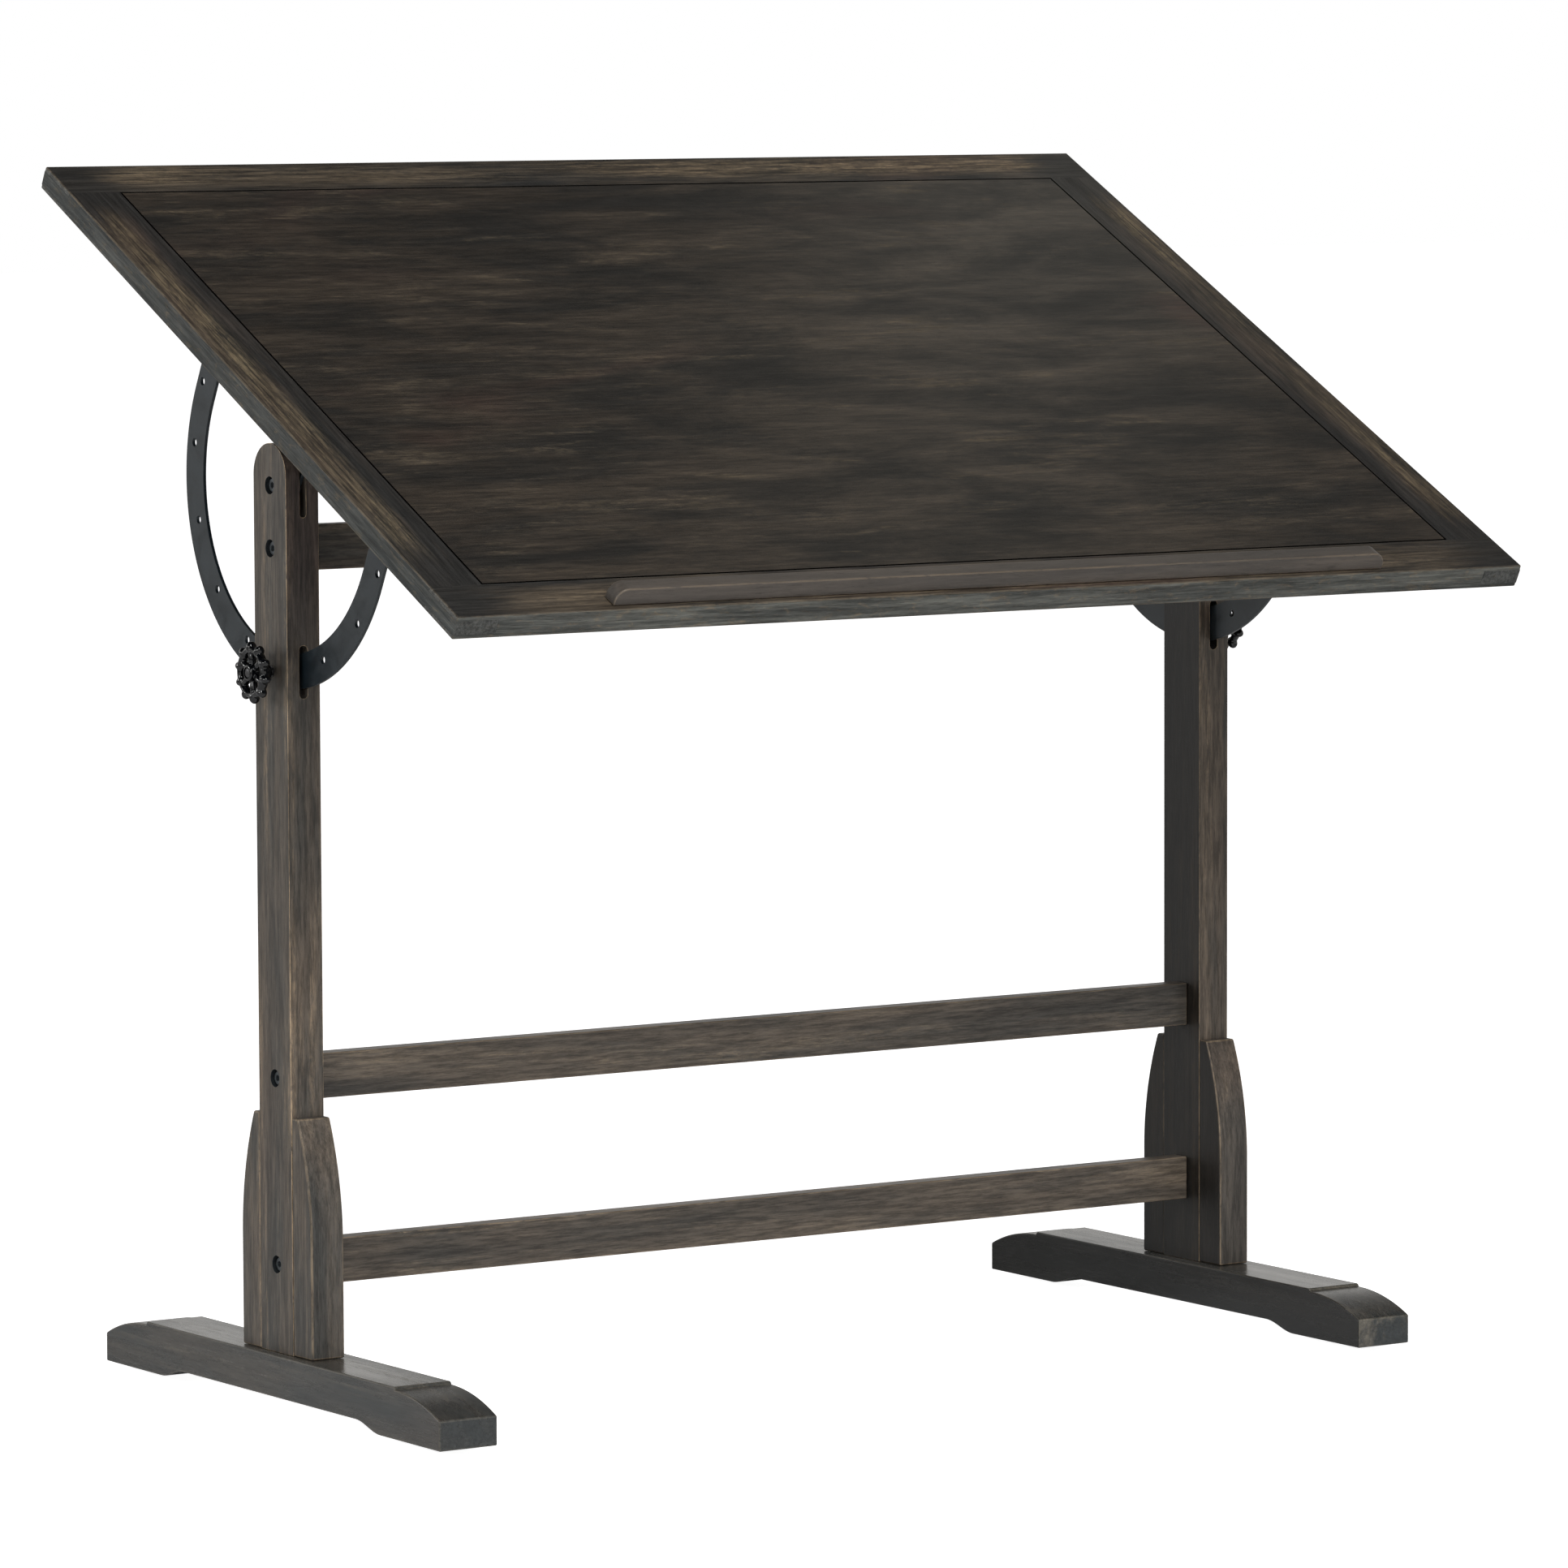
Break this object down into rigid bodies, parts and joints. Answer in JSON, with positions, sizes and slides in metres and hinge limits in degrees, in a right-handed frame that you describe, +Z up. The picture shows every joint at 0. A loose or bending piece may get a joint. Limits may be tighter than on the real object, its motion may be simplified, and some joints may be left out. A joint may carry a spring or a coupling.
{
  "type": "drafting table",
  "caption": "Trestle drafting table: a framed drawing board with a pencil ledge tilts on two posts and is locked by half-ring quadrant straps and hand-wheel clamps.",
  "frame": {"origin": "middle of the bounding box at floor level, with the board tilted as in the rest pose", "axes": "+X to the right along the board's long side, +Y to the back where the board's high edge is, +Z up"},
  "size_m": [1.0668, 0.6897, 1.0387],
  "materials": {
    "panel_wood": "dark stain, mottled with brown rub-through, satin",
    "frame_wood": "charcoal stain with brown rub-through and worn edges, satin",
    "stand_wood": "grey-brown distressed stain with worn edges, satin",
    "strap_steel": "slate grey powder coat, satin",
    "knob_iron": "glossy black enamel on a cast wheel",
    "bolt_steel": "black oxide, satin",
    "zinc_steel": "zinc plated, satin",
    "nylon": "black, matt"
  },
  "bodies": {
    "stand": {"barrel_nut_left_lower": "zinc_steel", "barrel_nut_left_middle": "zinc_steel", "barrel_nut_left_upper": "zinc_steel", "barrel_nut_right_lower": "zinc_steel", "barrel_nut_right_middle": "zinc_steel", "barrel_nut_right_upper": "zinc_steel", "bolt_left_lower": "bolt_steel", "bolt_left_middle": "bolt_steel", "bolt_left_upper": "bolt_steel", "bolt_right_lower": "bolt_steel", "bolt_right_middle": "bolt_steel", "bolt_right_upper": "bolt_steel", "cheek_left_back": "stand_wood", "cheek_left_front": "stand_wood", "cheek_right_back": "stand_wood", "cheek_right_front": "stand_wood", "clamp_insert_left": "zinc_steel", "clamp_insert_right": "zinc_steel", "foot_left": "stand_wood", "foot_right": "stand_wood", "foot_screw_left_back": "zinc_steel", "foot_screw_left_front": "zinc_steel", "foot_screw_right_back": "zinc_steel", "foot_screw_right_front": "zinc_steel", "pivot_bolt_left": "bolt_steel", "pivot_bolt_right": "bolt_steel", "pivot_nut_left": "bolt_steel", "pivot_nut_right": "bolt_steel", "post_left": "stand_wood", "post_right": "stand_wood", "stretcher_lower": "stand_wood", "stretcher_middle": "stand_wood", "stretcher_upper": "stand_wood"},
    "board": {"bar_screw_left_back": "bolt_steel", "bar_screw_left_front": "bolt_steel", "bar_screw_right_back": "bolt_steel", "bar_screw_right_front": "bolt_steel", "ledge": "frame_wood", "ledge_screw_left": "zinc_steel", "ledge_screw_right": "zinc_steel", "mounting_bar_left": "frame_wood", "mounting_bar_right": "frame_wood", "panel": "panel_wood", "quadrant_left": "strap_steel", "quadrant_right": "strap_steel", "rail_back": "frame_wood", "rail_front": "frame_wood", "stile_left": "frame_wood", "stile_right": "frame_wood"},
    "clamp_shoe_left": {"clamp_pad_left": "nylon"},
    "clamp_knob_left": {"clamp_screw_left": "zinc_steel", "knob_left": "knob_iron"},
    "leveller_left_front": {"leveller_left_front": "nylon"},
    "leveller_left_back": {"leveller_left_back": "nylon"},
    "clamp_shoe_right": {"clamp_pad_right": "nylon"},
    "clamp_knob_right": {"clamp_screw_right": "zinc_steel", "knob_right": "knob_iron"},
    "leveller_right_front": {"leveller_right_front": "nylon"},
    "leveller_right_back": {"leveller_right_back": "nylon"}
  },
  "joints": [
    {"name": "board_tilt", "type": "hinge", "parent": "stand", "child": "board", "pos_m": [0, 0.04285, 0.7775], "axis": [1, 0, 0], "range_deg": [-27.13, 62.87]},
    {"name": "clamp_travel_left", "type": "slide", "parent": "stand", "child": "clamp_shoe_left", "axis": [-1, 0, 0], "range_m": [0, 0.0015]},
    {"name": "clamp_turn_left", "type": "hinge", "parent": "clamp_shoe_left", "child": "clamp_knob_left", "pos_m": [-0.49, 0.04285, 0.6222], "axis": [-1, 0, 0], "range_deg": [0, 431.9]},
    {"name": "leveller_travel_left_front", "type": "slide", "parent": "stand", "child": "leveller_left_front", "axis": [0, 0, -1], "range_m": [0, 0.005]},
    {"name": "leveller_travel_left_back", "type": "slide", "parent": "stand", "child": "leveller_left_back", "axis": [0, 0, -1], "range_m": [0, 0.005]},
    {"name": "clamp_travel_right", "type": "slide", "parent": "stand", "child": "clamp_shoe_right", "axis": [1, 0, 0], "range_m": [0, 0.0015]},
    {"name": "clamp_turn_right", "type": "hinge", "parent": "clamp_shoe_right", "child": "clamp_knob_right", "pos_m": [0.49, 0.04285, 0.6222], "axis": [1, 0, 0], "range_deg": [0, 431.9]},
    {"name": "leveller_travel_right_front", "type": "slide", "parent": "stand", "child": "leveller_right_front", "axis": [0, 0, -1], "range_m": [0, 0.005]},
    {"name": "leveller_travel_right_back", "type": "slide", "parent": "stand", "child": "leveller_right_back", "axis": [0, 0, -1], "range_m": [0, 0.005]}
  ],
  "couplings": [
    {"joint": "clamp_travel_left", "follows": "clamp_turn_left", "m_per_rad": 0.00019894},
    {"joint": "clamp_travel_right", "follows": "clamp_turn_right", "m_per_rad": 0.00019894}
  ]
}
